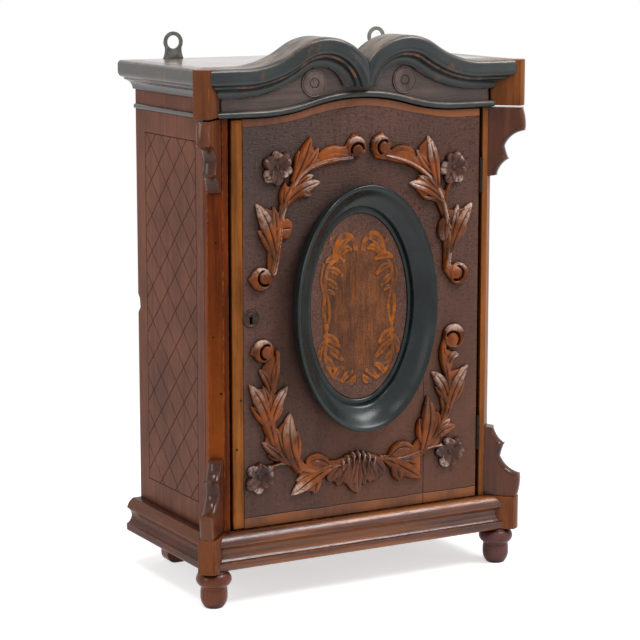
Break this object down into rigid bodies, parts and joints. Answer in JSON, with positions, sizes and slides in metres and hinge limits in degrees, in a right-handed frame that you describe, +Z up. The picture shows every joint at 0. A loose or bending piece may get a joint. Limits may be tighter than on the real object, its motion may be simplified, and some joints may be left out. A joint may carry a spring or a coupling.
{
  "type": "hanging wall cabinet",
  "caption": "Carved wooden hanging wall cabinet with an arched cornice, turned feet, hanger rings and a hinged door with an oval frame, leaf carving and a lock.",
  "frame": {"origin": "middle of the overall box, on the floor under the feet", "axes": "+X to the right as seen from the front, +Y to the wall behind, +Z up; the door faces -Y"},
  "size_m": [0.4402, 0.2302, 0.647],
  "materials": {
    "side_wood": "stained hardwood, scribed lattice, worn satin polish",
    "post_wood": "red-brown hardwood, worn satin polish",
    "inner_wood": "plain softwood, unpolished",
    "top_wood": "red-brown hardwood, polished",
    "frieze_wood": "dark hardwood with a fine punched ground",
    "black_wood": "ebonised hardwood, polished",
    "block_wood": "red-brown hardwood, polished and worn at the edges",
    "base_wood": "red-brown hardwood, polished and worn at the edges",
    "foot_wood": "turned hardwood, polished",
    "door_wood": "dark hardwood with a fine punched ground",
    "strip_wood": "orange-brown hardwood, worn polish",
    "carved_wood": "carved hardwood, polished",
    "flower_wood": "carved hardwood, dark stain",
    "panel_wood": "brown hardwood with an orange low-relief wreath",
    "steel": "plain steel, dulled",
    "brass": "brass, dark patina"
  },
  "bodies": {
    "case": {"left_side_panel": "side_wood", "right_side_panel": "side_wood", "left_post": "post_wood", "right_post": "post_wood", "back_boards": "inner_wood", "bottom_board": "inner_wood", "rear_base_rail": "inner_wood", "front_base_rail": "inner_wood", "shelf": "inner_wood", "shelf_cleats": "inner_wood", "door_stop": "inner_wood", "top_board": "top_wood", "frieze_board": "frieze_wood", "frieze_rosettes": "frieze_wood", "front_bead": "black_wood", "side_beads": "black_wood", "front_cornice_left": "black_wood", "front_cornice_right": "black_wood", "left_cornice": "black_wood", "right_cornice": "black_wood", "left_cornice_block": "block_wood", "right_cornice_block": "block_wood", "left_upper_bracket": "block_wood", "right_upper_bracket": "block_wood", "left_lower_bracket": "block_wood", "right_lower_bracket": "block_wood", "left_base_block": "block_wood", "right_base_block": "block_wood", "front_base_moulding": "base_wood", "left_base_moulding": "base_wood", "right_base_moulding": "base_wood", "left_front_foot": "foot_wood", "right_front_foot": "foot_wood", "rear_feet": "foot_wood", "left_hanger": "steel", "right_hanger": "steel", "hanger_screws": "steel", "case_screws": "steel", "post_hinge_leaves": "steel", "hinge_pins": "steel", "strike_plate": "steel"},
    "door": {"door_edge_strip": "strip_wood", "door_left_board": "door_wood", "door_right_board": "door_wood", "door_battens": "inner_wood", "oval_frame": "black_wood", "oval_panel": "panel_wood", "upper_left_spray": "carved_wood", "upper_right_spray": "carved_wood", "lower_left_spray": "carved_wood", "lower_right_spray": "carved_wood", "centre_palmette": "carved_wood", "carved_flowers": "flower_wood", "escutcheon": "brass", "door_hinge_leaves": "steel", "lock_case": "steel", "lock_cover": "steel", "door_screws": "steel"},
    "lock_bolt": {"lock_bolt": "steel"}
  },
  "joints": [
    {"name": "door_hinge", "type": "hinge", "parent": "case", "child": "door", "pos_m": [0.1675, -0.08494, 0.1645], "axis": [0, 0, 1], "range_deg": [0, 110]},
    {"name": "lock_bolt_slide", "type": "slide", "parent": "door", "child": "lock_bolt", "axis": [-1, 0, 0], "range_m": [0, 0.0075]}
  ]
}
